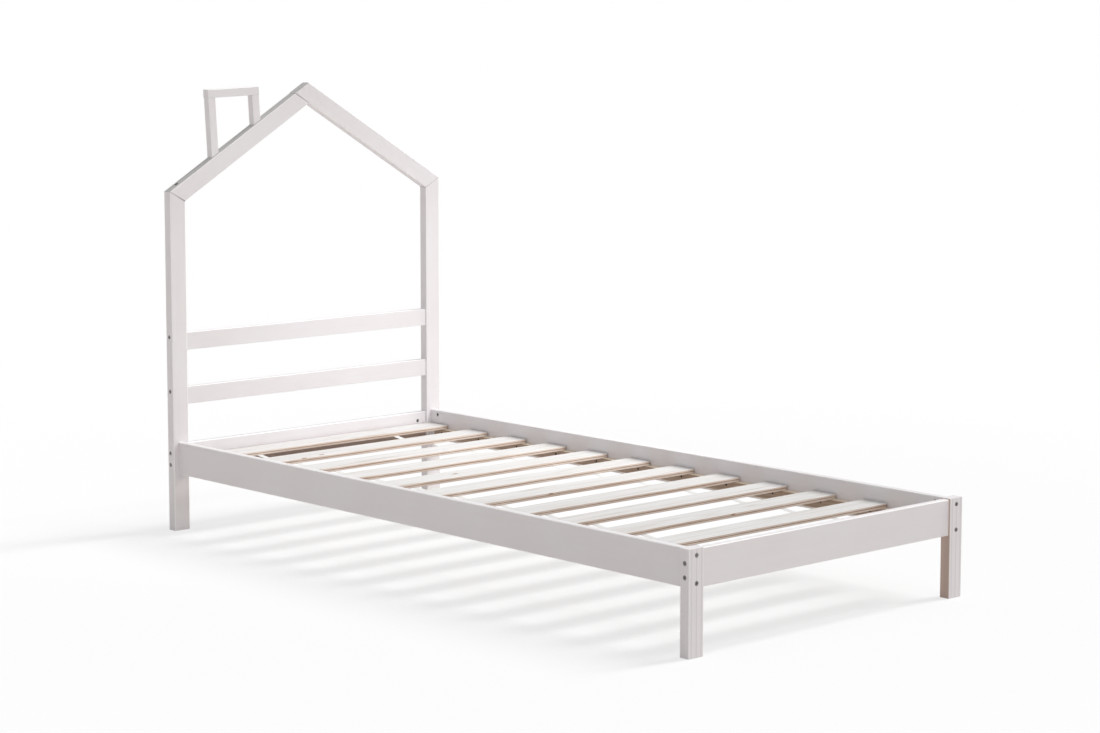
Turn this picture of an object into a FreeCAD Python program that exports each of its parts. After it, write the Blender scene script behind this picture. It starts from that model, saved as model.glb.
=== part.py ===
import FreeCAD, Part
import math
import os
from FreeCAD import Rotation, Vector

# House frame bed, in millimetres. X runs across the bed, +Y from foot to head, +Z up.
# The origin is on the floor, in the middle of the footprint.

# Whole bed
HEAD_WIDTH = 980.0
LENGTH = 2060.0
EAVE_Z = 960.0
ROOF_ANGLE = 31.0

# Timber sections
POST_W = 51.0
POST_D = 30.0
LEG_W = 48.0
LEG_D = 30.0
LEG_H = 254.0
RAIL_X = 464.0
RAIL_T = 20.0
RAIL_H = 92.0
RAIL_TOP = 252.0
CROSS_T = 18.0
CROSS_H = 50.0
ROUND_OVER = 3.0
FINE_ROUND = 2.0

# Headboard
CROSS_RAIL_TOPS = {"headboard_rail_upper": 561.0, "headboard_rail_lower": 407.0}
HEAD_RAIL_SETBACK = 8.0
HEAD_RAIL_DROP = 5.5

# Chimney: a loop of square timber, which leans outwards on the left rafter
CHIMNEY_W = 176.0
CHIMNEY_T = 24.0
CHIMNEY_D = 24.0
CHIMNEY_LEAN = 3.2
CHIMNEY_TILT = 1.8
CHIMNEY_CORNER_X = -352.0
CHIMNEY_CORNER_Z = 1241.0
CHIMNEY_STOCK = 260.0
CHIMNEY_UPRIGHTS = {"chimney_outer_upright": 0.0, "chimney_inner_upright": CHIMNEY_W - CHIMNEY_T}

# Slats, ledgers and ribbons
LEDGER_T = 20.0
LEDGER_H = 30.0
LEDGER_TOP = 200.0
LEDGER_END_GAP = 40.0
SLAT_COUNT = 12
SLAT_W = 80.0
SLAT_T = 12.0
SLAT_SIDE_GAP = 4.0
SLAT_HEAD_GAP = 1.5
SLAT_PITCH = 172.2
FIRST_SLAT_EXTRA = 10.9
RIBBON_X = 250.0
RIBBON_W = 18.0
RIBBON_T = 1.0
RIBBON_END = 10.0
STAPLE_W = 10.0
STAPLE_WIRE = 1.0
STAPLE_LEG = 7.0

# Bolts and their cross nuts
BOLT_R = 3.0
BOLT_HOLE_R = 3.5
BOLT_HEAD_R = 5.8
BOLT_HEAD_H = 3.5
BOLT_HEAD_SINK = 0.5
BOLT_RECESS_R = 6.2
SOCKET_R = 2.9
SOCKET_DEPTH = 2.4
SOCKET_SIDES = 6
BOLT_OVERRUN = 9.0
BOLT_END_ROOM = 1.0
NUT_R = 4.9
NUT_HOLE_R = 5.2
NUT_LENGTH = 13.0
NUT_HOLE_DEPTH = 16.0
NUT_SINK = 2.0
NUT_SETBACK = 31.0
NUT_THREAD_R = 3.1
SIDE_BOLT_Z = (238.0, 173.0)
END_BOLT_Z = (220.0, 187.0)
CROSS_BOLT_RISE = 14.0

# Screws
LEDGER_SCREW_COUNT = 12
LEDGER_SCREW_PITCH = 170.0
LEDGER_SCREW_START = 34.0
LEDGER_SCREW_Z = 189.0
LEDGER_SCREW_LENGTH = 32.0
LONG_SCREW_LENGTH = 70.0
RIDGE_SCREW_LENGTH = 95.0
CHIMNEY_SCREW_LENGTH = 75.0
CHIMNEY_TOP_SCREW_LENGTH = 50.0
EAVE_SCREW_INSET = 32.5
LONG_SCREW_SINK = 8.0
CHIMNEY_SCREW_SINK = 12.0
SCREW_R = 1.8
SCREW_HEAD_R = 3.4
SCREW_HEAD_H = 3.0
LONG_SCREW_R = 2.5
LONG_SCREW_HEAD_R = 4.2
SCREW_CLEARANCE = 0.2

# Wooden dowels
DOWEL_R = 4.0
DOWEL_LENGTH = 30.0
SMALL_DOWEL_R = 3.0
SMALL_DOWEL_LENGTH = 26.0
DOWEL_CLEARANCE = 0.15
DOWEL_Z = 205.5
EAVE_DOWEL_INSET = 17.5
RIDGE_DOWEL_DROP = 14.0

# Places worked out from the sizes above
HALF_WIDTH = HEAD_WIDTH / 2
HEAD_Y = LENGTH / 2
FOOT_Y = -LENGTH / 2
POST_FRONT = HEAD_Y - POST_D
LEG_BACK = FOOT_Y + LEG_D
POST_INNER = HALF_WIDTH - POST_W
RAIL_INNER = RAIL_X - RAIL_T / 2
RAIL_BOTTOM = RAIL_TOP - RAIL_H
LEG_INNER = RAIL_X - LEG_W / 2
LEG_OUTER = RAIL_X + LEG_W / 2
HEAD_RAIL_Y = POST_FRONT + HEAD_RAIL_SETBACK + RAIL_T / 2
FOOT_RAIL_Y = FOOT_Y + LEG_D / 2
CROSS_Y = POST_FRONT + POST_D / 2
SLOPE = math.radians(ROOF_ANGLE)
RIDGE_Z = EAVE_Z + HALF_WIDTH * math.tan(SLOPE)
RAIL_SIDES = (("left", -1), ("right", 1))
CUTTER_SIZE = 3000.0
PARALLEL = 0.01

X_AXIS = Vector(1, 0, 0)
Y_AXIS = Vector(0, 1, 0)
Z_AXIS = Vector(0, 0, 1)

timber = {}
hardware = {}


def beam(low, high, axis, radius=ROUND_OVER):
    """A box between two corners, with its four edges along the axis rounded over."""
    size = high - low
    box = Part.makeBox(size.x, size.y, size.z, low)
    edges = [edge for edge in box.Edges if edge.Curve.Direction.cross(axis).Length < PARALLEL]
    return box.makeFillet(radius, edges)


def rod(radius, start, direction, length):
    """A straight cylinder."""
    return Part.makeCylinder(radius, length, start, direction)


def turned(shape, degrees, origin):
    """The shape turned in the plane of the headboard, anticlockwise as seen from the foot, about the origin
    of its own frame, and then carried to a point."""
    placed = shape.copy()
    placed.rotate(Vector(), Y_AXIS, -degrees)
    placed.translate(origin)
    return placed


def beyond(point, normal):
    """A very large box on the far side of a plane, for saw cuts."""
    half = CUTTER_SIZE / 2
    block = Part.makeBox(CUTTER_SIZE, CUTTER_SIZE, CUTTER_SIZE, Vector(-half, -half, 0))
    block.Placement = FreeCAD.Placement(point, Rotation(Z_AXIS, normal))
    return block


def drill(node, tool):
    """Takes a hole out of a piece of timber."""
    timber[node] = timber[node].cut(tool)


def add_hardware(node, solid):
    """Puts one more fastener into the group that its node holds."""
    hardware.setdefault(node, []).append(solid)


# Posts and roof


def make_head_posts():
    """Posts, cut at the eaves along the mitre that halves the corner."""
    mitre_normal = {"left": Vector(1 - math.sin(SLOPE), 0, math.cos(SLOPE)),
                    "right": Vector(math.sin(SLOPE) - 1, 0, math.cos(SLOPE))}
    for side, sign in RAIL_SIDES:
        low_x = min(sign * HALF_WIDTH, sign * POST_INNER)
        low = Vector(low_x, POST_FRONT, 0)
        high = Vector(low_x + POST_W, HEAD_Y, EAVE_Z)
        eave = Vector(sign * HALF_WIDTH, 0, EAVE_Z)
        timber["head_post_" + side] = beam(low, high, Z_AXIS).cut(beyond(eave, mitre_normal[side]))
    return mitre_normal


def make_rafters(mitre_normal):
    """Rafters of the same section as the posts. The right one runs through at the ridge."""
    overlong = HALF_WIDTH / math.cos(SLOPE) + 2 * POST_W
    stock = beam(Vector(-POST_W, POST_FRONT, -POST_W), Vector(overlong, HEAD_Y, 0), X_AXIS)
    left = turned(stock, ROOF_ANGLE, Vector(-HALF_WIDTH, 0, EAVE_Z))
    right = left.mirror(Vector(), X_AXIS)
    ridge = Vector(0, 0, RIDGE_Z)
    left_face = Vector(-math.sin(SLOPE), 0, math.cos(SLOPE))
    right_face = Vector(math.sin(SLOPE), 0, math.cos(SLOPE))
    left = left.cut(beyond(Vector(-HALF_WIDTH, 0, EAVE_Z), mitre_normal["left"] * -1))
    left = left.cut(beyond(ridge - right_face * POST_W, right_face))
    right = right.cut(beyond(Vector(HALF_WIDTH, 0, EAVE_Z), mitre_normal["right"] * -1))
    right = right.cut(beyond(ridge, left_face))
    timber["rafter_left"] = left
    timber["rafter_right"] = right
    return left_face


def make_chimney(left_face):
    """Two uprights under a top piece. They are cut to its underside and to the slope that they stand on."""
    corner = Vector(CHIMNEY_CORNER_X, 0, CHIMNEY_CORNER_Z)
    back = HEAD_Y
    front = HEAD_Y - CHIMNEY_D
    top = beam(Vector(0, front, -CHIMNEY_T), Vector(CHIMNEY_W, back, 0), X_AXIS, FINE_ROUND)
    timber["chimney_top"] = turned(top, CHIMNEY_TILT, corner)
    tilt = Rotation(Y_AXIS, -CHIMNEY_TILT)
    above_uprights = beyond(corner - tilt.multVec(Z_AXIS) * CHIMNEY_T, tilt.multVec(Z_AXIS))
    below_roof = beyond(Vector(-HALF_WIDTH, 0, EAVE_Z), left_face * -1)
    for node, start in CHIMNEY_UPRIGHTS.items():
        upright = beam(Vector(0, front, -CHIMNEY_STOCK), Vector(CHIMNEY_T, back, CHIMNEY_T),
                       Z_AXIS, FINE_ROUND)
        placed = turned(upright, CHIMNEY_LEAN, corner + tilt.multVec(X_AXIS) * start)
        timber[node] = placed.cut(below_roof).cut(above_uprights)


# Rails and legs


def make_cross_rails():
    """Narrow rails between the posts, centred in their depth."""
    for node, top in CROSS_RAIL_TOPS.items():
        low = Vector(-POST_INNER, CROSS_Y - CROSS_T / 2, top - CROSS_H)
        timber[node] = beam(low, Vector(POST_INNER, CROSS_Y + CROSS_T / 2, top), X_AXIS, FINE_ROUND)


def make_bed_frame():
    """The four wide rails and the two legs."""
    head_top = RAIL_TOP - HEAD_RAIL_DROP
    timber["head_end_rail"] = beam(
        Vector(-POST_INNER, HEAD_RAIL_Y - RAIL_T / 2, head_top - RAIL_H),
        Vector(POST_INNER, HEAD_RAIL_Y + RAIL_T / 2, head_top), X_AXIS)
    timber["foot_rail"] = beam(
        Vector(-LEG_INNER, FOOT_RAIL_Y - RAIL_T / 2, RAIL_BOTTOM),
        Vector(LEG_INNER, FOOT_RAIL_Y + RAIL_T / 2, RAIL_TOP), X_AXIS)
    for side, sign in RAIL_SIDES:
        x = sign * RAIL_X
        timber["side_rail_" + side] = beam(
            Vector(x - RAIL_T / 2, LEG_BACK, RAIL_BOTTOM),
            Vector(x + RAIL_T / 2, POST_FRONT, RAIL_TOP), Y_AXIS)
        timber["foot_leg_" + side] = beam(
            Vector(x - LEG_W / 2, FOOT_Y, 0), Vector(x + LEG_W / 2, LEG_BACK, LEG_H), Z_AXIS)


# Slat base


def make_ledgers():
    """Strips inside the side rails, which stop short of the cross nuts at both ends."""
    for side, sign in RAIL_SIDES:
        low_x = min(sign * RAIL_INNER, sign * (RAIL_INNER - LEDGER_T))
        timber["slat_ledger_" + side] = beam(
            Vector(low_x, LEG_BACK + LEDGER_END_GAP, LEDGER_TOP - LEDGER_H),
            Vector(low_x + LEDGER_T, POST_FRONT - LEDGER_END_GAP, LEDGER_TOP), Y_AXIS, FINE_ROUND)


def slat_centres():
    """Where the slats lie along the bed. The first is a little nearer to the head than the pitch puts it."""
    first = POST_FRONT - SLAT_HEAD_GAP - SLAT_W / 2
    rest = [first - FIRST_SLAT_EXTRA - number * SLAT_PITCH for number in range(1, SLAT_COUNT)]
    return [first] + rest


def make_staple(x, y):
    """A wire staple with its crown under the ribbon and its two legs in the slat."""
    crown_top = LEDGER_TOP - RIBBON_T
    low = Vector(x - STAPLE_W / 2, y - STAPLE_WIRE / 2, crown_top - STAPLE_WIRE)
    crown = Part.makeBox(STAPLE_W, STAPLE_WIRE, STAPLE_WIRE, low)
    legs = [Part.makeBox(STAPLE_WIRE, STAPLE_WIRE, STAPLE_LEG, Vector(leg_x, low.y, crown_top))
            for leg_x in (low.x, low.x + STAPLE_W - STAPLE_WIRE)]
    return crown.fuse(legs).removeSplitter()


def make_slat_roll():
    """Slats that lie on the ledgers, two ribbons under them, and a staple at each crossing."""
    half_slat = RAIL_INNER - SLAT_SIDE_GAP
    centres = slat_centres()
    for side, sign in RAIL_SIDES:
        x = sign * RIBBON_X
        low = Vector(x - RIBBON_W / 2, centres[-1] - SLAT_W / 2 + RIBBON_END, LEDGER_TOP - RIBBON_T)
        length = centres[0] + SLAT_W / 2 - RIBBON_END - low.y
        timber["slat_ribbon_" + side] = Part.makeBox(RIBBON_W, length, RIBBON_T, low)
    for number, y in enumerate(centres, start=1):
        node = "slat_%02d" % number
        timber[node] = beam(
            Vector(-half_slat, y - SLAT_W / 2, LEDGER_TOP),
            Vector(half_slat, y + SLAT_W / 2, LEDGER_TOP + SLAT_T), X_AXIS, FINE_ROUND)
        for side, sign in RAIL_SIDES:
            staple = make_staple(sign * RIBBON_X, y)
            drill(node, staple)
            drill("slat_ribbon_" + side, staple)
            add_hardware("ribbon_staples", staple)


# Fasteners


def make_bolt(face, inward, length):
    """A bolt with a flat head and a hexagon socket. The face is where its axis enters the timber."""
    head_top = face + inward * BOLT_HEAD_SINK
    head = rod(BOLT_HEAD_R, head_top, inward, BOLT_HEAD_H)
    shank = rod(BOLT_R, head_top, inward, length)
    across = Vector(0, 0, SOCKET_R)
    corners = [head_top + Rotation(inward, 360 / SOCKET_SIDES * turn).multVec(across)
               for turn in range(SOCKET_SIDES + 1)]
    socket = Part.Face(Part.makePolygon(corners)).extrude(inward * SOCKET_DEPTH)
    return head.fuse(shank).cut(socket).removeSplitter()


def bolt_rail(bolts, member, rail, face, inward, member_thickness, rail_thickness, nut_direction):
    """Bolts a rail's end to a post or leg, with a cross nut let into the rail's hidden face."""
    joint = face + inward * member_thickness
    nut_axis = joint + inward * NUT_SETBACK
    add_hardware(bolts, make_bolt(face, inward, member_thickness + NUT_SETBACK + BOLT_OVERRUN))
    drill(member, rod(BOLT_RECESS_R, face, inward, BOLT_HEAD_SINK + BOLT_HEAD_H))
    drill(member, rod(BOLT_HOLE_R, face, inward, member_thickness))
    drill(rail, rod(BOLT_HOLE_R, joint, inward, NUT_SETBACK + BOLT_OVERRUN + BOLT_END_ROOM))
    mouth = nut_axis - nut_direction * (rail_thickness / 2)
    drill(rail, rod(NUT_HOLE_R, mouth, nut_direction, NUT_HOLE_DEPTH))
    nut = rod(NUT_R, mouth + nut_direction * NUT_SINK, nut_direction, NUT_LENGTH)
    thread = rod(NUT_THREAD_R, nut_axis - inward * CUTTER_SIZE / 2, inward, CUTTER_SIZE)
    add_hardware("barrel_nuts", nut.cut(thread))


def bolt_frame():
    """Two bolts at each end of the wide rails, and one at each end of the narrow ones."""
    for side, sign in RAIL_SIDES:
        post = "head_post_" + side
        leg = "foot_leg_" + side
        rail = "side_rail_" + side
        outward = X_AXIS * sign
        for z in SIDE_BOLT_Z:
            bolt_rail("side_rail_bolts", post, rail, Vector(sign * RAIL_X, HEAD_Y, z),
                      Y_AXIS * -1, POST_D, RAIL_T, outward)
            bolt_rail("side_rail_bolts", leg, rail, Vector(sign * RAIL_X, FOOT_Y, z),
                      Y_AXIS, LEG_D, RAIL_T, outward)
        for z in END_BOLT_Z:
            bolt_rail("end_rail_bolts", post, "head_end_rail", Vector(sign * HALF_WIDTH, HEAD_RAIL_Y, z),
                      outward * -1, POST_W, RAIL_T, Y_AXIS)
            bolt_rail("end_rail_bolts", leg, "foot_rail", Vector(sign * LEG_OUTER, FOOT_RAIL_Y, z),
                      outward * -1, LEG_W, RAIL_T, Y_AXIS * -1)
        for node, top in CROSS_RAIL_TOPS.items():
            z = top - CROSS_H / 2 + CROSS_BOLT_RISE
            bolt_rail("end_rail_bolts", post, node, Vector(sign * HALF_WIDTH, CROSS_Y, z),
                      outward * -1, POST_W, CROSS_T, Y_AXIS * -1)


def make_screw(point, inward, length, radius, head_radius):
    """A countersunk screw, whose flat top is at the point."""
    head = Part.makeCone(head_radius, radius, SCREW_HEAD_H, point, inward)
    return head.fuse(rod(radius, point, inward, length)).removeSplitter()


def drive_screw(group, nodes, face, inward, length, sink, radius, head_radius):
    """Sinks a screw below a face of the first piece of timber, and drills all that it goes through."""
    start = face + inward * sink
    add_hardware(group, make_screw(start, inward, length, radius, head_radius))
    hole = make_screw(start, inward, length + SCREW_CLEARANCE,
                      radius + SCREW_CLEARANCE, head_radius + SCREW_CLEARANCE)
    mouth = rod(head_radius + SCREW_CLEARANCE, face - inward * sink, inward, 2 * sink)
    for node in nodes:
        drill(node, hole)
    if sink:
        drill(nodes[0], mouth)


def screw_ledgers():
    """A row of screws through each ledger into its side rail."""
    for side, sign in RAIL_SIDES:
        nodes = ("slat_ledger_" + side, "side_rail_" + side)
        for number in range(LEDGER_SCREW_COUNT):
            y = POST_FRONT - LEDGER_END_GAP - LEDGER_SCREW_START - number * LEDGER_SCREW_PITCH
            face = Vector(sign * (RAIL_INNER - LEDGER_T), y, LEDGER_SCREW_Z)
            drive_screw("ledger_screws", nodes, face, X_AXIS * sign, LEDGER_SCREW_LENGTH, 0,
                        SCREW_R, SCREW_HEAD_R)


def screw_roof():
    """A screw down through each eave, and one through the ridge along the left rafter."""
    for side, sign in RAIL_SIDES:
        x = sign * (HALF_WIDTH - EAVE_SCREW_INSET)
        face = Vector(x, CROSS_Y, EAVE_Z + EAVE_SCREW_INSET * math.tan(SLOPE))
        drive_screw("roof_screws", ("rafter_" + side, "head_post_" + side), face, Z_AXIS * -1,
                    LONG_SCREW_LENGTH, LONG_SCREW_SINK, LONG_SCREW_R, LONG_SCREW_HEAD_R)
    half_rise = POST_W / math.cos(SLOPE) / 2
    face = Vector(half_rise / math.tan(SLOPE) / 2, CROSS_Y, RIDGE_Z - half_rise / 2)
    down_rafter = Vector(-math.cos(SLOPE), 0, -math.sin(SLOPE))
    drive_screw("roof_screws", ("rafter_right", "rafter_left"), face, down_rafter,
                RIDGE_SCREW_LENGTH, LONG_SCREW_SINK, LONG_SCREW_R, LONG_SCREW_HEAD_R)


def screw_chimney(left_face):
    """A screw up through the rafter into each upright, and one down through the top piece."""
    corner = Vector(CHIMNEY_CORNER_X, HEAD_Y - CHIMNEY_D / 2, CHIMNEY_CORNER_Z)
    tilt = Rotation(Y_AXIS, -CHIMNEY_TILT)
    down = Rotation(Y_AXIS, -CHIMNEY_LEAN).multVec(Z_AXIS * -1)
    eave = Vector(-HALF_WIDTH, 0, EAVE_Z)
    for node, start in CHIMNEY_UPRIGHTS.items():
        top = corner + tilt.multVec(X_AXIS) * (start + CHIMNEY_T / 2)
        drive_screw("chimney_screws", ("chimney_top", node), top, down, CHIMNEY_TOP_SCREW_LENGTH,
                    LONG_SCREW_SINK, SCREW_R, SCREW_HEAD_R)
        drop = (eave - left_face * POST_W - top).dot(left_face) / down.dot(left_face)
        drive_screw("chimney_screws", ("rafter_left", node), top + down * drop, down * -1,
                    CHIMNEY_SCREW_LENGTH, CHIMNEY_SCREW_SINK, SCREW_R, SCREW_HEAD_R)


def fit_dowel(nodes, middle, direction, radius, length):
    """A dowel across a joint, with half of its length in each piece."""
    start = middle - direction * (length / 2)
    add_hardware("dowels", rod(radius, start, direction, length))
    slack = direction * DOWEL_CLEARANCE
    hole = rod(radius + DOWEL_CLEARANCE, start - slack, direction, length + 2 * DOWEL_CLEARANCE)
    for node in nodes:
        drill(node, hole)


def dowel_frame(mitre_normal):
    """Dowels in the ends of the side rails and narrow rails, in the mitres and in the ridge joint."""
    for side, sign in RAIL_SIDES:
        rail = "side_rail_" + side
        post = "head_post_" + side
        fit_dowel((post, rail), Vector(sign * RAIL_X, POST_FRONT, DOWEL_Z), Y_AXIS, DOWEL_R, DOWEL_LENGTH)
        fit_dowel(("foot_leg_" + side, rail), Vector(sign * RAIL_X, LEG_BACK, DOWEL_Z), Y_AXIS,
                  DOWEL_R, DOWEL_LENGTH)
        for node, top in CROSS_RAIL_TOPS.items():
            z = top - CROSS_H / 2 - CROSS_BOLT_RISE
            fit_dowel((post, node), Vector(sign * POST_INNER, CROSS_Y, z), X_AXIS, DOWEL_R, DOWEL_LENGTH)
        normal = Vector(mitre_normal[side]).normalize()
        along_mitre = Vector(-sign * normal.z, 0, -abs(normal.x))
        middle = Vector(sign * HALF_WIDTH, CROSS_Y, EAVE_Z) + along_mitre * EAVE_DOWEL_INSET
        fit_dowel((post, "rafter_" + side), middle, normal, SMALL_DOWEL_R, SMALL_DOWEL_LENGTH)
    joint_top = Vector(-POST_W / math.sin(SLOPE) / 2, CROSS_Y, RIDGE_Z - POST_W / math.cos(SLOPE) / 2)
    down_joint = Vector(math.cos(SLOPE), 0, -math.sin(SLOPE))
    up_rafter = Vector(math.cos(SLOPE), 0, math.sin(SLOPE))
    fit_dowel(("rafter_left", "rafter_right"), joint_top + down_joint * RIDGE_DOWEL_DROP, up_rafter,
              SMALL_DOWEL_R, SMALL_DOWEL_LENGTH)


def write_parts():
    """One file for each piece of timber, and one for each group of fasteners."""
    os.makedirs("parts", exist_ok=True)
    shapes = dict(timber)
    for node, solids in hardware.items():
        shapes[node] = Part.makeCompound(solids)
    for node, shape in shapes.items():
        shape.exportStep("parts/" + node + ".step")
        box = shape.BoundBox
        print("%-24s valid %s solids %d  x %.1f..%.1f  y %.1f..%.1f  z %.1f..%.1f" % (
            node, shape.isValid(), len(shape.Solids),
            box.XMin, box.XMax, box.YMin, box.YMax, box.ZMin, box.ZMax))


mitres = make_head_posts()
rafter_face = make_rafters(mitres)
make_chimney(rafter_face)
make_cross_rails()
make_bed_frame()
make_ledgers()
make_slat_roll()
bolt_frame()
screw_ledgers()
screw_roof()
screw_chimney(rafter_face)
dowel_frame(mitres)
write_parts()
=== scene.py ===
import math

import bpy
import numpy as np
from mathutils import Euler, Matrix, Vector


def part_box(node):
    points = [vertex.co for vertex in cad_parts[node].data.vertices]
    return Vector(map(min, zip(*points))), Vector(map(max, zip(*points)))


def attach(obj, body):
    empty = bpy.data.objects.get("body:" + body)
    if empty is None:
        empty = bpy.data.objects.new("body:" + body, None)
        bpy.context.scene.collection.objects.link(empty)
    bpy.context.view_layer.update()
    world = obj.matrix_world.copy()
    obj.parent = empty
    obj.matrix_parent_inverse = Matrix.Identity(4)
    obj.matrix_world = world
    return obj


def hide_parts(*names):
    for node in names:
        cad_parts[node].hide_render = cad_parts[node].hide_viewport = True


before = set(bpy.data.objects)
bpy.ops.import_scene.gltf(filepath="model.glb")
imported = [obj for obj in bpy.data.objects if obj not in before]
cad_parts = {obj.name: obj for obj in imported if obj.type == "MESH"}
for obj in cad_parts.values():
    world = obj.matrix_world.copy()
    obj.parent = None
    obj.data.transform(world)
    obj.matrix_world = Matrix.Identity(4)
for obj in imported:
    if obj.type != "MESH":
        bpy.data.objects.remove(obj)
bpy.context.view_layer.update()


# ---- Head posts ----
# Two full-height posts of planed pine, sprayed with white satin paint. The grain runs up them and just shows
# through the paint. Each is cut on a slant at the eave, where a dark hairline marks the joint.


def add_node(tree, kind, **settings):
    """Adds a shader node. Plain words set its attributes, and a dictionary called values sets its inputs."""
    node = tree.nodes.new(kind)
    values = settings.pop("values", {})
    for name, value in settings.items():
        setattr(node, name, value)
    for socket, value in values.items():
        node.inputs[socket].default_value = value
    return node


def new_group(name, inputs, outputs):
    """An empty shader node group. Inputs and outputs are (name, type, starting value or None)."""
    group = bpy.data.node_groups.new(name, "ShaderNodeTree")
    for direction, sockets in (("INPUT", inputs), ("OUTPUT", outputs)):
        for label, kind, value in sockets:
            socket = group.interface.new_socket(label, in_out=direction, socket_type=kind)
            if value is not None:
                socket.default_value = value
    return group, group.nodes.new("NodeGroupInput"), group.nodes.new("NodeGroupOutput")


STREAK_SCALE = (4.0, 240.0, 240.0)
RING_SCALE = (0.9, 26.0, 26.0)
RING_FOLD = 0.5


def build_grain_group():
    """Long grain in a board whose local X runs along it: fine streaks are stretched noise, and growth rings
    are a broader noise folded up and down, so that they close up and spread as real ones do."""
    group, ends_in, ends_out = new_group(
        "long_grain",
        (("Vector", "NodeSocketVector", None), ("Rings", "NodeSocketFloat", 6.0)),
        (("Streaks", "NodeSocketFloat", None), ("Rings", "NodeSocketFloat", None)))
    link = group.links.new
    fine = add_node(group, "ShaderNodeMapping", values={"Scale": STREAK_SCALE})
    broad = add_node(group, "ShaderNodeMapping", values={"Scale": RING_SCALE})
    streaks = add_node(group, "ShaderNodeTexNoise", values={"Scale": 1.0, "Detail": 3.0, "Roughness": 0.6})
    swell = add_node(group, "ShaderNodeTexNoise", values={"Scale": 1.0, "Detail": 1.0, "Distortion": 0.3})
    count = add_node(group, "ShaderNodeMath", operation="MULTIPLY")
    ring = add_node(group, "ShaderNodeMath", operation="PINGPONG", values={1: RING_FOLD})
    spread = add_node(group, "ShaderNodeMath", operation="MULTIPLY", values={1: 1 / RING_FOLD})
    link(ends_in.outputs["Vector"], fine.inputs["Vector"])
    link(ends_in.outputs["Vector"], broad.inputs["Vector"])
    link(fine.outputs[0], streaks.inputs["Vector"])
    link(broad.outputs[0], swell.inputs["Vector"])
    link(swell.outputs["Fac"], count.inputs[0])
    link(ends_in.outputs["Rings"], count.inputs[1])
    link(count.outputs[0], ring.inputs[0])
    link(ring.outputs[0], spread.inputs[0])
    link(streaks.outputs["Fac"], ends_out.inputs["Streaks"])
    link(spread.outputs[0], ends_out.inputs["Rings"])
    return group


long_grain = build_grain_group()


def start_material(name, roughness):
    """A new material with its Principled shader, ready for colour and bump."""
    material = bpy.data.materials.new(name)
    material.use_nodes = True
    tree = material.node_tree
    tree.nodes.clear()
    shader = add_node(tree, "ShaderNodeBsdfPrincipled", values={"Roughness": roughness})
    output = tree.nodes.new("ShaderNodeOutputMaterial")
    tree.links.new(shader.outputs[0], output.inputs["Surface"])
    return material, tree, shader


def colour_mix(tree, factor, low, high):
    """A colour that runs from low to high with the factor. Either end may be a colour or a socket."""
    mix = add_node(tree, "ShaderNodeMix", data_type="RGBA")
    for socket, value in ((mix.inputs[6], low), (mix.inputs[7], high)):
        if isinstance(value, bpy.types.NodeSocket):
            tree.links.new(value, socket)
        else:
            socket.default_value = (*value, 1.0)
    tree.links.new(factor, mix.inputs[0])
    return mix.outputs[2]


def shaped(tree, value, low, high, to_low=0.0, to_high=1.0):
    """Maps a value from one range to another, smoothly, and holds it at the ends."""
    node = add_node(tree, "ShaderNodeMapRange", interpolation_type="SMOOTHSTEP",
                    values={"From Min": low, "From Max": high, "To Min": to_low, "To Max": to_high})
    tree.links.new(value, node.inputs["Value"])
    return node.outputs[0]


def add_bump(tree, shader, height, strength, distance):
    """Feeds a height to the shader's normal, scaled by a strength and by a distance in metres."""
    bump = add_node(tree, "ShaderNodeBump", values={"Strength": strength, "Distance": distance})
    tree.links.new(height, bump.inputs["Height"])
    tree.links.new(bump.outputs[0], shader.inputs["Normal"])


WHITE_PAINT = (0.818, 0.788, 0.806)
WARM_PAINT = (0.795, 0.757, 0.766)
PAINT_ROUGHNESS = 0.42
# How a board lies: across the bed, along it, or upright.
ALONG_X = (0.0, 0.0, 0.0)
ALONG_Y = (0.0, 0.0, math.radians(90))
ALONG_Z = (0.0, math.radians(-90), 0.0)
JOINT_FAINTEST = 0.3
FACE_NORMAL = 0.99
EDGE_NORMAL = 0.90


def build_joint_group():
    """The hairline of a joint: 1 on a plane, given by its normal and its distance from the origin, and 0 a
    width away from it. It is faint at Start and dark at End, which are places along X, as a joint is that has
    opened at one end."""
    group, ends_in, ends_out = new_group(
        "joint_hairline",
        (("Vector", "NodeSocketVector", None), ("Plane", "NodeSocketVector", None),
         ("Distance", "NodeSocketFloat", 0.0), ("Width", "NodeSocketFloat", 0.001),
         ("Start", "NodeSocketFloat", 0.0), ("End", "NodeSocketFloat", 1.0)),
        (("Mask", "NodeSocketFloat", None),))
    link = group.links.new
    along = add_node(group, "ShaderNodeVectorMath", operation="DOT_PRODUCT")
    off = add_node(group, "ShaderNodeMath", operation="SUBTRACT")
    away = add_node(group, "ShaderNodeMath", operation="ABSOLUTE")
    near = add_node(group, "ShaderNodeMapRange", values={"To Min": 1.0, "To Max": 0.0})
    parts = group.nodes.new("ShaderNodeSeparateXYZ")
    open_end = add_node(group, "ShaderNodeMapRange", values={"To Min": JOINT_FAINTEST, "To Max": 1.0})
    both = add_node(group, "ShaderNodeMath", operation="MULTIPLY")
    link(ends_in.outputs["Vector"], along.inputs[0])
    link(ends_in.outputs["Plane"], along.inputs[1])
    link(along.outputs["Value"], off.inputs[0])
    link(ends_in.outputs["Distance"], off.inputs[1])
    link(off.outputs[0], away.inputs[0])
    link(away.outputs[0], near.inputs["Value"])
    link(ends_in.outputs["Width"], near.inputs["From Max"])
    link(ends_in.outputs["Vector"], parts.inputs[0])
    link(parts.outputs["X"], open_end.inputs["Value"])
    link(ends_in.outputs["Start"], open_end.inputs["From Min"])
    link(ends_in.outputs["End"], open_end.inputs["From Max"])
    link(near.outputs[0], both.inputs[0])
    link(open_end.outputs[0], both.inputs[1])
    link(both.outputs[0], ends_out.inputs["Mask"])
    return group


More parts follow.
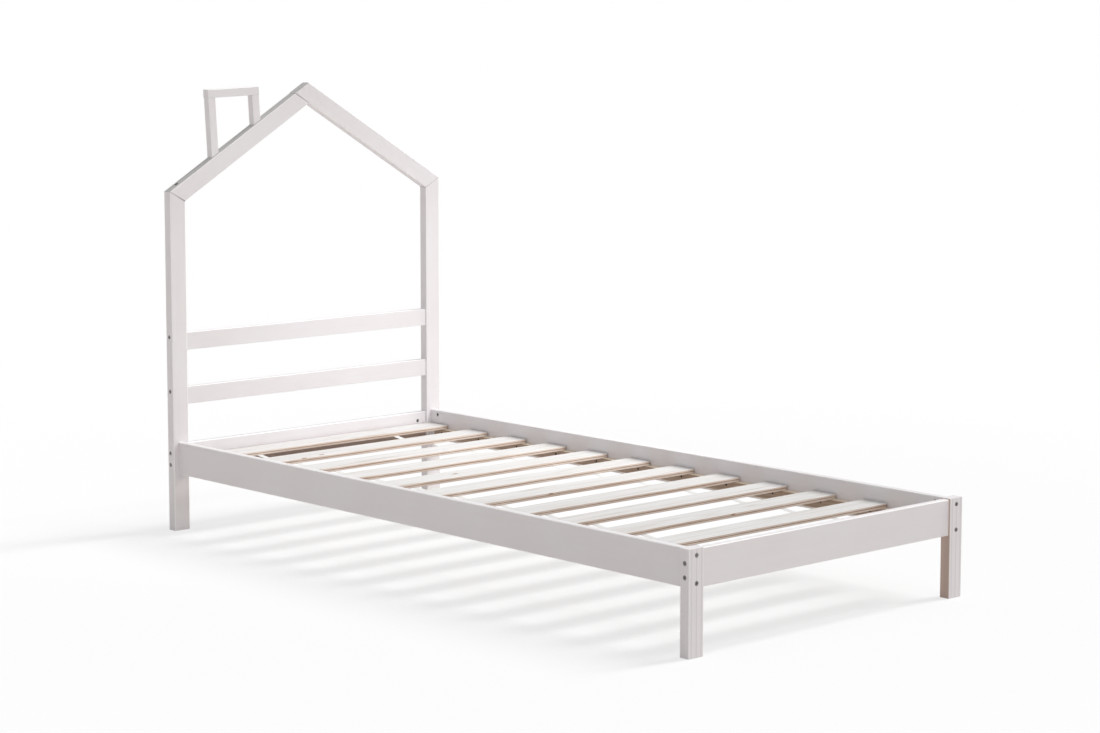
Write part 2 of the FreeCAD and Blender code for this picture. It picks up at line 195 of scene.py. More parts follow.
def build_arris_group():
    """Where an eased edge is: the largest part of the board's own normal is near 1 on its faces and about 0.7
    on a rounded edge, so the mask is 1 where that largest part is small."""
    group, ends_in, ends_out = new_group(
        "eased_edge", (("Normal", "NodeSocketVector", None),), (("Mask", "NodeSocketFloat", None),))
    link = group.links.new
    size = add_node(group, "ShaderNodeVectorMath", operation="ABSOLUTE")
    parts = group.nodes.new("ShaderNodeSeparateXYZ")
    first = add_node(group, "ShaderNodeMath", operation="MAXIMUM")
    largest = add_node(group, "ShaderNodeMath", operation="MAXIMUM")
    edge = add_node(group, "ShaderNodeMapRange", interpolation_type="SMOOTHSTEP",
                    values={"From Min": FACE_NORMAL, "From Max": EDGE_NORMAL})
    link(ends_in.outputs["Normal"], size.inputs[0])
    link(size.outputs[0], parts.inputs[0])
    link(parts.outputs["X"], first.inputs[0])
    link(parts.outputs["Y"], first.inputs[1])
    link(first.outputs[0], largest.inputs[0])
    link(parts.outputs["Z"], largest.inputs[1])
    link(largest.outputs[0], edge.inputs["Value"])
    link(edge.outputs[0], ends_out.inputs["Mask"])
    return group


def build_hole_group():
    """Painted shade inside a screw hole that goes straight down: 1 within Radius of an upright line through
    Centre."""
    group, ends_in, ends_out = new_group(
        "screw_hole_shade",
        (("Vector", "NodeSocketVector", None), ("Centre", "NodeSocketVector", None),
         ("Radius", "NodeSocketFloat", 0.004)),
        (("Mask", "NodeSocketFloat", None),))
    link = group.links.new
    off = add_node(group, "ShaderNodeVectorMath", operation="SUBTRACT")
    level = add_node(group, "ShaderNodeVectorMath", operation="MULTIPLY", values={1: (1.0, 1.0, 0.0)})
    away = add_node(group, "ShaderNodeVectorMath", operation="LENGTH")
    inside = add_node(group, "ShaderNodeMath", operation="LESS_THAN")
    link(ends_in.outputs["Vector"], off.inputs[0])
    link(ends_in.outputs["Centre"], off.inputs[1])
    link(off.outputs[0], level.inputs[0])
    link(level.outputs[0], away.inputs[0])
    link(away.outputs["Value"], inside.inputs[0])
    link(ends_in.outputs["Radius"], inside.inputs[1])
    link(inside.outputs[0], ends_out.inputs["Mask"])
    return group


joint_hairline = build_joint_group()
eased_edge = build_arris_group()
screw_hole_shade = build_hole_group()
# Eased edges are painted near-white: a painted highlight where they catch the light.
EDGE_HIGHLIGHT = (0.94, 0.93, 0.93)
# Dark for the joints' hairlines, and painted shade inside the screw holes.
JOINT_LINE_AND_HOLE_SHADE = (0.09, 0.07, 0.065)
# Painted shade: brown for faces hidden under the bed.
INWARD_SHADE_BROWN = (0.59, 0.455, 0.395)
STRIP_LINE = (0.715, 0.68, 0.695)
STRIP_LINE_FROM = 0.16
STRIP_LINE_FULL = 0.04
CLOUD_SCALE = 5.0
CLOUD_RANGE = (0.35, 0.7)
CLOUD_SHARE = 0.7
RING_SHARE = 0.3
PAINTED_RINGS = 9.0
SHADE_FADE = 0.004
FACING_RANGE = (0.6, 0.9)
RING_DARKER = 0.86
PAINT_STREAKS = (0.3, 0.7)
SATIN_RANGE = (0.38, 0.5)
PAINT_RELIEF = (0.2, 0.0002)


def place_and_normal(tree, turn):
    """The texture node for places on the bed, and the place and the normal turned so that X runs along the
    board."""
    texture = tree.nodes.new("ShaderNodeTexCoord")
    turned = add_node(tree, "ShaderNodeMapping", vector_type="TEXTURE", values={"Rotation": turn})
    facing = add_node(tree, "ShaderNodeMapping", vector_type="TEXTURE", values={"Rotation": turn})
    tree.links.new(texture.outputs["Object"], turned.inputs["Vector"])
    tree.links.new(texture.outputs["Normal"], facing.inputs["Vector"])
    return texture, turned.outputs[0], facing.outputs[0]


def painted_timber(name, turn, joints=(), shaded_face=None, shade_colour=INWARD_SHADE_BROWN, holes=(), strip=None):
    """White satin paint over pine. The paint sinks a little into the grain and lies a shade warmer there, and
    the eased edges are painted whiter, a painted highlight. Joints are hairlines, and holes are dark discs
    seen from above, painted shade inside them. A shaded face takes a colour of painted shade, with rings: it
    is given by the way it faces and the height below which it is so. A strip is the width of the laminations,
    whose glue lines show faintly."""
    material, tree, shader = start_material(name, PAINT_ROUGHNESS)
    texture, place, facing = place_and_normal(tree, turn)
    grain = add_node(tree, "ShaderNodeGroup", node_tree=long_grain, values={"Rings": PAINTED_RINGS})
    tree.links.new(place, grain.inputs["Vector"])
    cloud = add_node(tree, "ShaderNodeTexNoise", values={"Scale": CLOUD_SCALE, "Detail": 2.0})
    tree.links.new(place, cloud.inputs["Vector"])
    both = add_node(tree, "ShaderNodeMath", operation="ADD", use_clamp=True)
    tree.links.new(shaped(tree, cloud.outputs["Fac"], *CLOUD_RANGE, 0.0, CLOUD_SHARE), both.inputs[0])
    tree.links.new(shaped(tree, grain.outputs["Rings"], 0.0, 1.0, 0.0, RING_SHARE), both.inputs[1])
    colour = colour_mix(tree, both.outputs[0], WHITE_PAINT, WARM_PAINT)
    if strip:
        across = tree.nodes.new("ShaderNodeSeparateXYZ")
        fold = add_node(tree, "ShaderNodeMath", operation="PINGPONG", values={1: strip / 2})
        tree.links.new(texture.outputs["Object"], across.inputs[0])
        tree.links.new(across.outputs["X"], fold.inputs[0])
        line = shaped(tree, fold.outputs[0], strip * STRIP_LINE_FROM, strip * STRIP_LINE_FULL)
        colour = colour_mix(tree, line, colour, STRIP_LINE)
    edge = add_node(tree, "ShaderNodeGroup", node_tree=eased_edge)
    tree.links.new(facing, edge.inputs["Normal"])
    colour = colour_mix(tree, edge.outputs["Mask"], colour, EDGE_HIGHLIGHT)
    # A shaded face is painted shade: another colour on faces that turn one way, below a height.
    if shaded_face:
        way, height = shaded_face
        toward = add_node(tree, "ShaderNodeVectorMath", operation="DOT_PRODUCT", values={1: way})
        tree.links.new(texture.outputs["Normal"], toward.inputs[0])
        parts = tree.nodes.new("ShaderNodeSeparateXYZ")
        tree.links.new(texture.outputs["Object"], parts.inputs[0])
        mask = add_node(tree, "ShaderNodeMath", operation="MULTIPLY")
        tree.links.new(shaped(tree, toward.outputs["Value"], *FACING_RANGE), mask.inputs[0])
        tree.links.new(shaped(tree, parts.outputs["Z"], height, height - SHADE_FADE), mask.inputs[1])
        darker = tuple(RING_DARKER * part for part in shade_colour)
        wood = colour_mix(tree, grain.outputs["Rings"], shade_colour, darker)
        colour = colour_mix(tree, mask.outputs[0], colour, wood)
    for plane, distance, width, start, end in joints:
        line = add_node(tree, "ShaderNodeGroup", node_tree=joint_hairline,
                        values={"Plane": plane, "Distance": distance, "Width": width,
                                "Start": start, "End": end})
        tree.links.new(texture.outputs["Object"], line.inputs["Vector"])
        colour = colour_mix(tree, line.outputs["Mask"], colour, JOINT_LINE_AND_HOLE_SHADE)
    # Painted shade inside the screw holes.
    for centre, radius in holes:
        hole = add_node(tree, "ShaderNodeGroup", node_tree=screw_hole_shade,
                        values={"Centre": centre, "Radius": radius})
        tree.links.new(texture.outputs["Object"], hole.inputs["Vector"])
        colour = colour_mix(tree, hole.outputs["Mask"], colour, JOINT_LINE_AND_HOLE_SHADE)
    tree.links.new(colour, shader.inputs["Base Color"])
    satin = shaped(tree, grain.outputs["Streaks"], *PAINT_STREAKS, *SATIN_RANGE)
    tree.links.new(satin, shader.inputs["Roughness"])
    add_bump(tree, shader, grain.outputs["Streaks"], *PAINT_RELIEF)
    return material


def dress(material, *nodes):
    """Gives a material to pieces, by their names."""
    for node in nodes:
        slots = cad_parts[node].data.materials
        slots.clear()
        slots.append(material)


post_low, post_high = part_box("head_post_left")
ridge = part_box("rafter_right")[1]
roof_slope = math.atan2(ridge.z - post_high.z, ridge.x)
mitre_run = post_high.x - post_low.x
mitre_drop = mitre_run * math.tan(math.pi / 4 - roof_slope / 2)
mitre_lean = math.atan2(mitre_drop, mitre_run)


def mitre_joint(side, width):
    """The plane of an eave mitre, on the left (-1) or right (1): it halves the angle from post to rafter."""
    plane = (-side * math.sin(mitre_lean), 0.0, math.cos(mitre_lean))
    outer = side * abs(post_low.x)
    distance = plane[0] * outer + plane[2] * post_high.z
    return plane, distance, width, outer, outer - side * mitre_run


OPEN_MITRE = 0.0026
TIGHT_MITRE = 0.0010
LEFT_MITRE = mitre_joint(-1, OPEN_MITRE)
RIGHT_MITRE = mitre_joint(1, TIGHT_MITRE)
dress(painted_timber("white_paint_left_post", ALONG_Z, joints=(LEFT_MITRE,)), "head_post_left")
dress(painted_timber("white_paint_right_post", ALONG_Z, joints=(RIGHT_MITRE,)), "head_post_right")


# ---- Roof and chimney ----
# Two rafters of the posts' timber. The right one runs through at the ridge and the left one butts against it.
# A little loop of square timber stands on the left one. All are glued, dowelled, screwed and then painted.
# The slope that faces left, away from the light, is painted grey as painted shade.

RIDGE_GAP = 0.0022
RIDGE_GAP_FAINT = 0.03
RIDGE_GAP_DARK = -0.04
rafter_depth = mitre_run
ridge_plane = (math.sin(roof_slope), 0.0, math.cos(roof_slope))
butt_distance = ridge.z * ridge_plane[2] - rafter_depth
RIDGE_BUTT = (ridge_plane, butt_distance, RIDGE_GAP, RIDGE_GAP_FAINT, RIDGE_GAP_DARK)
EAVE_SCREW_IN = 0.0325
SCREW_HOLE_RADIUS = 0.0052
eave_screws = [((side * (ridge.x - EAVE_SCREW_IN), (post_low.y + post_high.y) / 2, 0.0), SCREW_HOLE_RADIUS)
               for side in (-1, 1)]
# Painted shade: grey for the slope that faces away from the light.
SHADED_SLOPE_GREY = (0.49, 0.475, 0.47)
ABOVE_ROOF = 2 * ridge.z
LEFT_SLOPE = ((-math.sin(roof_slope), 0.0, math.cos(roof_slope)), ABOVE_ROOF)
dress(painted_timber("white_paint_left_slope", (0.0, -roof_slope, 0.0), joints=(LEFT_MITRE, RIDGE_BUTT),
                     shaded_face=LEFT_SLOPE, shade_colour=SHADED_SLOPE_GREY, holes=eave_screws[:1]), "rafter_left")
dress(painted_timber("white_paint_right_slope", (0.0, roof_slope, 0.0), joints=(RIGHT_MITRE,),
                     shaded_face=LEFT_SLOPE, shade_colour=SHADED_SLOPE_GREY, holes=eave_screws[1:]), "rafter_right")
dress(painted_timber("white_paint_chimney", ALONG_Z), "chimney_outer_upright", "chimney_inner_upright")

# ---- Cross rails, end rails and chimney top ----
# Painted boards that run across the bed, set back a little between the posts and between the legs. Behind
# the slats the head rail's face is painted dark brown, as painted shade.

dress(painted_timber("white_paint_crosswise", ALONG_X), "headboard_rail_upper", "headboard_rail_lower",
      "foot_rail", "chimney_top")
DECK_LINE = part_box("slat_01")[0].z
# Painted shade: dark brown on the head rail's face behind the slats.
UNDER_SLAT_SHADE_BROWN = (0.34, 0.245, 0.20)
dress(painted_timber("white_paint_head_rail", ALONG_X, shaded_face=((0.0, -1.0, 0.0), DECK_LINE),
                     shade_colour=UNDER_SLAT_SHADE_BROWN), "head_end_rail")

# ---- Side rails ----
# Two long painted boards with the grain along them. Bolts through the head posts and the foot legs hold their
# ends, and the slat ledgers are screwed to their inner faces.

dress(painted_timber("white_paint_lengthwise", ALONG_Y), "side_rail_left", "side_rail_right")

# ---- Foot legs ----
# Short legs laminated from upright strips, whose joints show faintly through the paint. Their inward faces
# are painted brown, as painted shade.

LEG_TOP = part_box("foot_leg_left")[1].z
LEG_STRIP = 0.016
for side, leg in ((1.0, "foot_leg_left"), (-1.0, "foot_leg_right")):
    dress(painted_timber("white_paint_" + leg, ALONG_Z, shaded_face=((side, 0.0, 0.0), LEG_TOP + SHADE_FADE),
                         strip=LEG_STRIP), leg)

# ---- Slats ----
# Planed pine, almost white on top and tan on the sawn edges, with small brown knots. They lie loose on the
# ledgers.

SLAT_TOP = (0.72, 0.71, 0.70)
SLAT_CREAM = (0.57, 0.525, 0.48)
SLAT_EDGE = (0.74, 0.64, 0.57)
SLAT_EDGE_DARK = (0.58, 0.45, 0.37)
END_GRAIN = (0.30, 0.21, 0.16)
KNOT_RIM = (0.30, 0.18, 0.11)
KNOT_HEART = (0.12, 0.065, 0.04)
KNOT_SPREAD = (5.0, 9.0, 30.0)
KNOT_SIZE = 0.06
KNOT_FULL = 0.7
HEART_FROM = 0.6
HEART_FULL = 0.2
CREAM_RINGS = (0.45, 1.0)
CREAM_STREAKS = (0.35, 0.6)
EDGE_STREAKS = (0.4, 0.65)
FACE_TURN = (0.35, 0.9)
END_TURN = (0.5, 0.9)
PINE_ROUGHNESS = 0.6
PINE_STREAKS = (0.2, 0.8)
PINE_DULLNESS = (0.5, 0.75)
PINE_RELIEF = (0.3, 0.0003)
CORE_HALF = 0.0012
CORE_FULL = 0.4
SLAT_RINGS = 9.0


def build_knot_group():
    """Knots in a board whose local X runs along it: round cells far apart, drawn out along the grain. The
    mask is 1 in a knot and the heart is 1 at its middle."""
    group, ends_in, ends_out = new_group(
        "pine_knots",
        (("Vector", "NodeSocketVector", None), ("Size", "NodeSocketFloat", KNOT_SIZE)),
        (("Mask", "NodeSocketFloat", None), ("Heart", "NodeSocketFloat", None)))
    link = group.links.new
    spread = add_node(group, "ShaderNodeMapping", values={"Scale": KNOT_SPREAD})
    cells = add_node(group, "ShaderNodeTexVoronoi", values={"Scale": 1.0, "Randomness": 1.0})
    edge = add_node(group, "ShaderNodeMath", operation="DIVIDE")
    mask = add_node(group, "ShaderNodeMapRange", interpolation_type="SMOOTHSTEP",
                    values={"From Min": 1.0, "From Max": KNOT_FULL})
    heart = add_node(group, "ShaderNodeMapRange", interpolation_type="SMOOTHSTEP",
                     values={"From Min": HEART_FROM, "From Max": HEART_FULL})
    link(ends_in.outputs["Vector"], spread.inputs["Vector"])
    link(spread.outputs[0], cells.inputs["Vector"])
    link(cells.outputs["Distance"], edge.inputs[0])
    link(ends_in.outputs["Size"], edge.inputs[1])
    link(edge.outputs[0], mask.inputs["Value"])
    link(edge.outputs[0], heart.inputs["Value"])
    link(mask.outputs[0], ends_out.inputs["Mask"])
    link(heart.outputs[0], ends_out.inputs["Heart"])
    return group


pine_knots = build_knot_group()


def bare_pine(name, turn, tops, creams, edges, dark_edges, rings, core=None):
    """Bare pine: pale faces with cream streaks, tan along the sawn edges, brown on the end grain, and knots.
    A core is a thin brown growth line along the edges, given by its height and half its thickness."""
    material, tree, shader = start_material(name, PINE_ROUGHNESS)
    texture, place, facing = place_and_normal(tree, turn)
    grain = add_node(tree, "ShaderNodeGroup", node_tree=long_grain, values={"Rings": rings})
    knots = add_node(tree, "ShaderNodeGroup", node_tree=pine_knots, values={"Size": KNOT_SIZE})
    tree.links.new(place, grain.inputs["Vector"])
    tree.links.new(place, knots.inputs["Vector"])
    parts = tree.nodes.new("ShaderNodeSeparateXYZ")
    ends = tree.nodes.new("ShaderNodeSeparateXYZ")
    spot = tree.nodes.new("ShaderNodeSeparateXYZ")
    tree.links.new(texture.outputs["Normal"], parts.inputs[0])
    tree.links.new(facing, ends.inputs[0])
    tree.links.new(texture.outputs["Object"], spot.inputs[0])
    lift = add_node(tree, "ShaderNodeMath", operation="ABSOLUTE")
    across = add_node(tree, "ShaderNodeMath", operation="ABSOLUTE")
    tree.links.new(parts.outputs["Z"], lift.inputs[0])
    tree.links.new(ends.outputs["X"], across.inputs[0])
    streaked = add_node(tree, "ShaderNodeMath", operation="MULTIPLY")
    tree.links.new(shaped(tree, grain.outputs["Rings"], *CREAM_RINGS), streaked.inputs[0])
    tree.links.new(shaped(tree, grain.outputs["Streaks"], *CREAM_STREAKS), streaked.inputs[1])
    face = colour_mix(tree, streaked.outputs[0], tops, creams)
    edge = colour_mix(tree, shaped(tree, grain.outputs["Streaks"], *EDGE_STREAKS), edges, dark_edges)
    if core:
        height, half = core
        above = add_node(tree, "ShaderNodeMath", operation="SUBTRACT", values={1: height})
        away = add_node(tree, "ShaderNodeMath", operation="ABSOLUTE")
        tree.links.new(spot.outputs["Z"], above.inputs[0])
        tree.links.new(above.outputs[0], away.inputs[0])
        edge = colour_mix(tree, shaped(tree, away.outputs[0], half, half * CORE_FULL), edge, KNOT_RIM)
    wood = colour_mix(tree, shaped(tree, lift.outputs[0], *FACE_TURN), edge, face)
    wood = colour_mix(tree, shaped(tree, across.outputs[0], *END_TURN), wood, END_GRAIN)
    wood = colour_mix(tree, knots.outputs["Mask"], wood, KNOT_RIM)
    wood = colour_mix(tree, knots.outputs["Heart"], wood, KNOT_HEART)
    tree.links.new(wood, shader.inputs["Base Color"])
    dullness = shaped(tree, grain.outputs["Streaks"], *PINE_STREAKS, *PINE_DULLNESS)
    tree.links.new(dullness, shader.inputs["Roughness"])
    add_bump(tree, shader, grain.outputs["Streaks"], *PINE_RELIEF)
    return material


slats = sorted(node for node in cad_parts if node.startswith("slat_") and node[-1].isdigit())
slat_middle = (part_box("slat_01")[0].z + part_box("slat_01")[1].z) / 2
dress(bare_pine("slat_pine", ALONG_X, SLAT_TOP, SLAT_CREAM, SLAT_EDGE, SLAT_EDGE_DARK, SLAT_RINGS,
                core=(slat_middle, CORE_HALF)), *slats)

# ---- Slat ledgers ----
# Strips of bare pine, screwed along the inside of the side rails. They are browner than the slats that they
# carry.

LEDGER_PALE = (0.80, 0.69, 0.56)
LEDGER_CREAM = (0.72, 0.58, 0.44)
LEDGER_TAN = (0.46, 0.34, 0.26)
LEDGER_DARK = (0.36, 0.25, 0.18)
LEDGER_RINGS = 8.0
dress(bare_pine("ledger_pine", ALONG_Y, LEDGER_PALE, LEDGER_CREAM, LEDGER_TAN, LEDGER_DARK, LEDGER_RINGS),
      "slat_ledger_left", "slat_ledger_right")

# ---- Slat ribbons ----
# Two flat straps of white woven webbing, stapled under every slat so that the slats keep their spacing. Each
# lies flat under the slats and hangs down a little in the gaps between them.

WEBBING_WHITE = (0.86, 0.86, 0.85)
WEBBING_SHADE = (0.74, 0.74, 0.73)
RIBBON_SAG = 0.004
GAP_STEPS = 14
SECTION_STEPS = 20
FLATNESS_ACROSS = 0.25
FLATNESS_THROUGH = 0.6
WARP_SCALE = 160.0
WEFT_SCALE = 120.0
WEBBING_ROUGHNESS = 0.8
WEAVE_RELIEF = (0.5, 0.0004)


def webbing_material():
    """Plain white weave: two crossed waves make the threads."""
    material, tree, shader = start_material("white_webbing", WEBBING_ROUGHNESS)
    place = tree.nodes.new("ShaderNodeTexCoord")
    warp = add_node(tree, "ShaderNodeTexWave", bands_direction="X", values={"Scale": WARP_SCALE})
    weft = add_node(tree, "ShaderNodeTexWave", bands_direction="Y", values={"Scale": WEFT_SCALE})
    both = add_node(tree, "ShaderNodeMath", operation="MULTIPLY")
    for wave, socket in ((warp, 0), (weft, 1)):
        tree.links.new(place.outputs["Object"], wave.inputs["Vector"])
        tree.links.new(wave.outputs["Fac"], both.inputs[socket])
    threads = colour_mix(tree, both.outputs[0], WEBBING_SHADE, WEBBING_WHITE)
    tree.links.new(threads, shader.inputs["Base Color"])
    add_bump(tree, shader, both.outputs[0], *WEAVE_RELIEF)
    return material


def ribbon_mesh(name, low, high, gaps):
    """A strap as one closed skin over a grid of places along it and angles round its section. The section is
    a flat loop: the cosine and the sine of the angle, each raised to a power under one, so that it fills its
    box but for its rounded edges. Its middle drops by a parabola in each gap, which is RIBBON_SAG deep
    halfway and nought at both of the gap's ends."""
    along = np.unique(np.concatenate([[low.y, high.y]] + [np.linspace(*gap, GAP_STEPS) for gap in gaps]))
    drop = np.zeros_like(along)
    for start, end in gaps:
        share = np.clip((along - start) / (end - start), 0.0, 1.0)
        drop += 4.0 * RIBBON_SAG * share * (1.0 - share)
    angle = np.linspace(0.0, 2.0 * np.pi, SECTION_STEPS, endpoint=False)
    sideways = np.sign(np.cos(angle)) * np.abs(np.cos(angle)) ** FLATNESS_ACROSS * (high.x - low.x) / 2
    upward = np.sign(np.sin(angle)) * np.abs(np.sin(angle)) ** FLATNESS_THROUGH * (high.z - low.z) / 2
    grid = np.empty((along.size, SECTION_STEPS, 3))
    grid[..., 0] = (low.x + high.x) / 2 + sideways
    grid[..., 1] = along[:, None]
    grid[..., 2] = (low.z + high.z) / 2 - drop[:, None] + upward
    ring = np.arange(SECTION_STEPS)
    first = ring + SECTION_STEPS * np.arange(along.size - 1)[:, None]
    second = np.roll(ring, -1) + SECTION_STEPS * np.arange(along.size - 1)[:, None]
    sides = np.stack([first, first + SECTION_STEPS, second + SECTION_STEPS, second], axis=-1).reshape(-1, 4)
    ends = [ring.tolist(), (ring[::-1] + SECTION_STEPS * (along.size - 1)).tolist()]
    mesh = bpy.data.meshes.new(name)
    mesh.from_pydata(grid.reshape(-1, 3), [], sides.tolist() + ends)
    mesh.polygons.foreach_set("use_smooth", np.append(np.ones(len(sides), bool), [False, False]))
    return mesh


slat_spans = sorted((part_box(node)[0].y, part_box(node)[1].y) for node in slats)
slat_gaps = [(near[1], far[0]) for near, far in zip(slat_spans, slat_spans[1:])]
webbing = webbing_material()
for side in ("left", "right"):
    ribbon_low, ribbon_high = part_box("slat_ribbon_" + side)
    ribbon = bpy.data.objects.new("woven_ribbon_" + side,
                                  ribbon_mesh("woven_ribbon_" + side, ribbon_low, ribbon_high, slat_gaps))
    ribbon.data.materials.append(webbing)
    bpy.context.scene.collection.objects.link(ribbon)
    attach(ribbon, "slat_roll")
    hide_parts("slat_ribbon_" + side)

# ---- Bolts, nuts and staples ----
# Zinc-plated steel: socket bolts through the posts and legs, cross nuts in the rails, and wire staples that
# hold the ribbons to the slats.

# Each finish is its light colour, its dark colour and its roughness.
BOLT_ZINC = ((0.34, 0.33, 0.31), (0.17, 0.16, 0.15), 0.36)
# The cross nuts' zinc is made very dark, partly painted shade for the holes they sit in.
NUT_ZINC_AND_HOLE_SHADE = ((0.20, 0.19, 0.18), (0.08, 0.08, 0.08), 0.45)
STAPLE_ZINC = ((0.66, 0.66, 0.64), (0.52, 0.52, 0.50), 0.32)
SPOT_SCALE = 300.0
SPOT_RANGE = (0.3, 0.7)
SPOT_ROUGHNESS = 0.08


def plated_steel(name, light, dark, roughness):
    """Plated metal, whose brightness and roughness wander a little in fine spots."""
    material, tree, shader = start_material(name, roughness)
    shader.inputs["Metallic"].default_value = 1.0
    place = tree.nodes.new("ShaderNodeTexCoord")
    spots = add_node(tree, "ShaderNodeTexNoise", values={"Scale": SPOT_SCALE, "Detail": 3.0})
    tree.links.new(place.outputs["Object"], spots.inputs["Vector"])
    colour = colour_mix(tree, shaped(tree, spots.outputs["Fac"], *SPOT_RANGE), light, dark)
    tree.links.new(colour, shader.inputs["Base Color"])
    dullness = shaped(tree, spots.outputs["Fac"], *SPOT_RANGE, roughness - SPOT_ROUGHNESS,
                      roughness + SPOT_ROUGHNESS)
    tree.links.new(dullness, shader.inputs["Roughness"])
    return material


dress(plated_steel("dark_zinc", *BOLT_ZINC), "side_rail_bolts", "end_rail_bolts")
dress(plated_steel("nut_zinc_and_hole_shade", *NUT_ZINC_AND_HOLE_SHADE), "barrel_nuts")
dress(plated_steel("staple_wire", *STAPLE_ZINC), "ribbon_staples")

# ---- Screws ----
# Black phosphated wood screws. They hold the ledgers to the side rails, and the roof and the chimney
# together.

SCREW_BLACK = ((0.09, 0.07, 0.06), (0.05, 0.04, 0.035), 0.5)
dress(plated_steel("black_phosphate", *SCREW_BLACK), "ledger_screws", "roof_screws", "chimney_screws")

# ---- Dowels ----
# Bare wood pins hidden in the joints, where they stop the rails and the mitres from turning. They have the
# ledgers' finish, with fewer rings.

DOWEL_RINGS = 4.0
dress(bare_pine("dowel_beech", ALONG_X, LEDGER_PALE, LEDGER_CREAM, LEDGER_TAN, LEDGER_DARK, DOWEL_RINGS),
      "dowels")

# ---- Floor and light ----
# A wide pale floor that fades into a white background and keeps a faint shadow, because it partly glows. A
# tall row of soft lights stands on the right, a softbox lifts the lower part of the headboard, and white
# walls fill the rest.

PLAIN_WHITE = (1.0, 1.0, 1.0, 1.0)
FLOOR_HALF = 40.0
FLOOR_LIT = (0.74, 0.705, 0.675)
FLOOR_SEEN = (0.92, 0.92, 0.92)
FLOOR_GLOW = 0.64
FADE_START = 1.3
FADE_END = 3.4
SUN_ELEVATIONS = (40.0, 49.0, 58.0, 67.0)
SUN_SIDEWAYS = -0.18
SUN_TOTAL = 1.9
SUN_ANGLE = 11.0
SOFTBOX_PLACE = (0.8, -0.9, 1.25)
SOFTBOX_AIM = (0.15, 1.0, 0.2)
SOFTBOX_SIZE = 0.6
SOFTBOX_SPREAD = 64.0
SOFTBOX_WATTS = 2.4
FRONT_FILL = 0.36
FRONT_FILL_ANGLE = 70.0
FRONT_FILL_TOWARDS = (-0.1, -1.0, 0.45)
FILL_LIGHT = 0.50
WHITE_VIEW = 1.0


def seen_or_mirrored(tree):
    """1 for rays that come straight from the camera or off a mirror or through glass, and 0 for light."""
    path = tree.nodes.new("ShaderNodeLightPath")
    first = add_node(tree, "ShaderNodeMath", operation="MAXIMUM")
    both = add_node(tree, "ShaderNodeMath", operation="MAXIMUM")
    tree.links.new(path.outputs["Is Camera Ray"], first.inputs[0])
    tree.links.new(path.outputs["Is Glossy Ray"], first.inputs[1])
    tree.links.new(first.outputs[0], both.inputs[0])
    tree.links.new(path.outputs["Is Transmission Ray"], both.inputs[1])
    return both.outputs[0]


floor_corners = FLOOR_HALF * np.array(((-1, -1, 0), (1, -1, 0), (1, 1, 0), (-1, 1, 0)))
floor_mesh = bpy.data.meshes.new("floor")
floor_mesh.from_pydata(floor_corners, [], [(0, 1, 2, 3)])
floor = bpy.data.objects.new("floor", floor_mesh)
bpy.context.scene.collection.objects.link(floor)
floor_material = bpy.data.materials.new("pale_floor")
floor_material.use_nodes = True
floor_tree = floor_material.node_tree
floor_tree.nodes.clear()
floor_lit = add_node(floor_tree, "ShaderNodeBsdfDiffuse", values={"Color": (*FLOOR_LIT, 1.0)})
floor_seen = add_node(floor_tree, "ShaderNodeBsdfDiffuse", values={"Color": (*FLOOR_SEEN, 1.0)})
floor_glow = add_node(floor_tree, "ShaderNodeEmission", values={"Color": PLAIN_WHITE, "Strength": 1.0})
floor_place = floor_tree.nodes.new("ShaderNodeTexCoord")
floor_away = add_node(floor_tree, "ShaderNodeVectorMath", operation="LENGTH")
floor_tree.links.new(floor_place.outputs["Object"], floor_away.inputs[0])
fading_glow = floor_tree.nodes.new("ShaderNodeMixShader")
floor_tree.links.new(shaped(floor_tree, floor_away.outputs["Value"], FADE_START, FADE_END, FLOOR_GLOW, 1.0),
                     fading_glow.inputs[0])
floor_mix = floor_tree.nodes.new("ShaderNodeMixShader")
floor_out = floor_tree.nodes.new("ShaderNodeOutputMaterial")
floor_tree.links.new(floor_seen.outputs[0], fading_glow.inputs[1])
floor_tree.links.new(floor_glow.outputs[0], fading_glow.inputs[2])
floor_tree.links.new(seen_or_mirrored(floor_tree), floor_mix.inputs[0])
floor_tree.links.new(floor_lit.outputs[0], floor_mix.inputs[1])
floor_tree.links.new(fading_glow.outputs[0], floor_mix.inputs[2])
floor_tree.links.new(floor_mix.outputs[0], floor_out.inputs["Surface"])
floor_mesh.materials.append(floor_material)

lamps = []
for number, elevation in enumerate(SUN_ELEVATIONS, start=1):
    sun = bpy.data.lights.new("window_light_%d" % number, "SUN")
    sun.energy = SUN_TOTAL / len(SUN_ELEVATIONS)
    sun.angle = math.radians(SUN_ANGLE)
    rise = math.radians(elevation)
    lamps.append((sun, Vector((math.cos(rise), SUN_SIDEWAYS * math.cos(rise), math.sin(rise)))))
softbox = bpy.data.lights.new("softbox", "AREA")
softbox.size = SOFTBOX_SIZE
softbox.spread = math.radians(SOFTBOX_SPREAD)
softbox.energy = SOFTBOX_WATTS
lamps.append((softbox, Vector(SOFTBOX_PLACE) - Vector(SOFTBOX_AIM)))
front_fill = bpy.data.lights.new("front_fill", "SUN")
front_fill.energy = FRONT_FILL
front_fill.angle = math.radians(FRONT_FILL_ANGLE)
lamps.append((front_fill, Vector(FRONT_FILL_TOWARDS)))
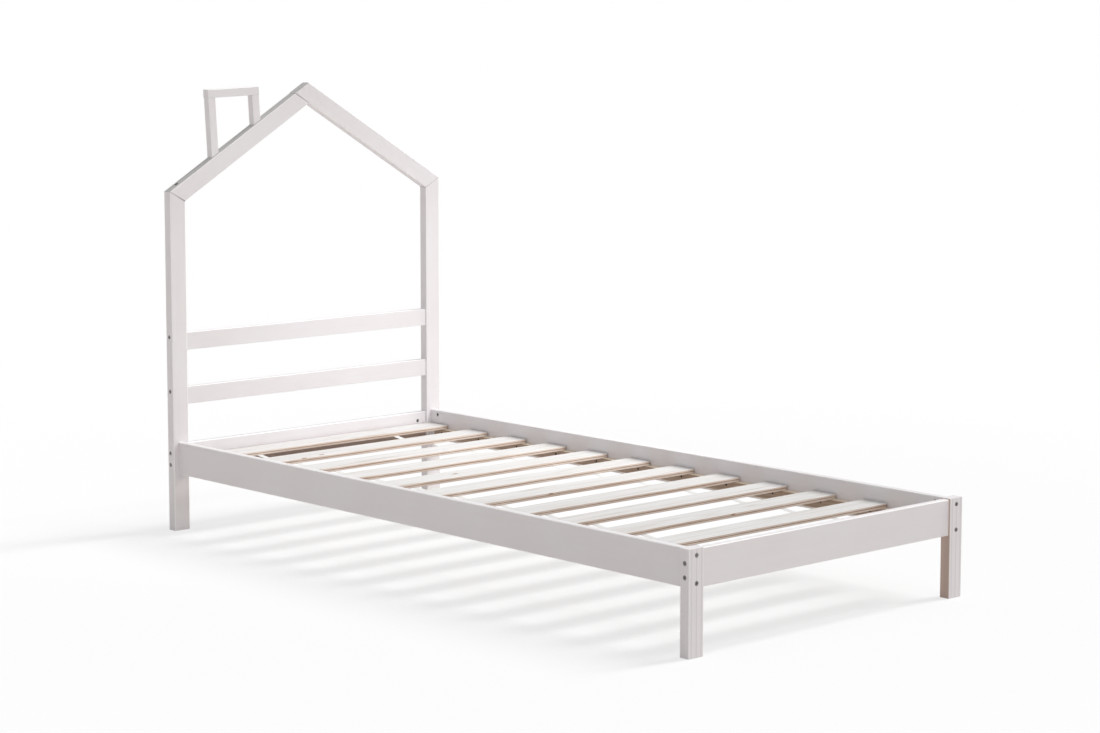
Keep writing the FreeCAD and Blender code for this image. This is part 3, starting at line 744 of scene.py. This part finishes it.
# The second value of each pair points to where the light comes from. Only the softbox's place matters, as the
# others are suns, so all of them stand there.
for lamp_data, towards in lamps:
    lamp = bpy.data.objects.new(lamp_data.name, lamp_data)
    lamp.location = SOFTBOX_PLACE
    lamp.visible_camera = False
    lamp.rotation_euler = towards.to_track_quat("Z", "Y").to_euler()
    bpy.context.scene.collection.objects.link(lamp)

world = bpy.data.worlds.new("white_studio")
bpy.context.scene.world = world
world.use_nodes = True
world_tree = world.node_tree
world_tree.nodes.clear()
fill = add_node(world_tree, "ShaderNodeBackground", values={"Strength": FILL_LIGHT})
white = add_node(world_tree, "ShaderNodeBackground", values={"Strength": WHITE_VIEW})
world_mix = world_tree.nodes.new("ShaderNodeMixShader")
world_out = world_tree.nodes.new("ShaderNodeOutputWorld")
for background in (fill, white):
    background.inputs["Color"].default_value = PLAIN_WHITE
world_tree.links.new(seen_or_mirrored(world_tree), world_mix.inputs[0])
world_tree.links.new(fill.outputs[0], world_mix.inputs[1])
world_tree.links.new(white.outputs[0], world_mix.inputs[2])
world_tree.links.new(world_mix.outputs[0], world_out.inputs["Surface"])

# ---- Camera ----
# It stands beyond the foot on the left, a little above the bed, and looks slightly down through a long lens.
# A small shift of the lens places the bed in the frame.

PHOTO_WIDTH = 1100.0
FOCAL_PIXELS = 2669.3
SENSOR = 36.0
CAMERA_PLACE = (-4.7319, -5.1869, 1.4753)
CAMERA_YAW = 0.7426
CAMERA_PITCH = -0.1140
CAMERA_ROLL = -0.0004
LENS_SHIFT = -0.05

camera_data = bpy.data.cameras.new("photo_camera")
camera_data.sensor_width = SENSOR
camera_data.lens = FOCAL_PIXELS / PHOTO_WIDTH * SENSOR
camera_data.shift_y = LENS_SHIFT
camera = bpy.data.objects.new("photo_camera", camera_data)
camera.location = CAMERA_PLACE
camera.rotation_euler = Euler((math.pi / 2 + CAMERA_PITCH, CAMERA_ROLL, -CAMERA_YAW), "XYZ")
bpy.context.scene.collection.objects.link(camera)
bpy.context.scene.camera = camera
bpy.context.scene.view_settings.view_transform = "Standard"
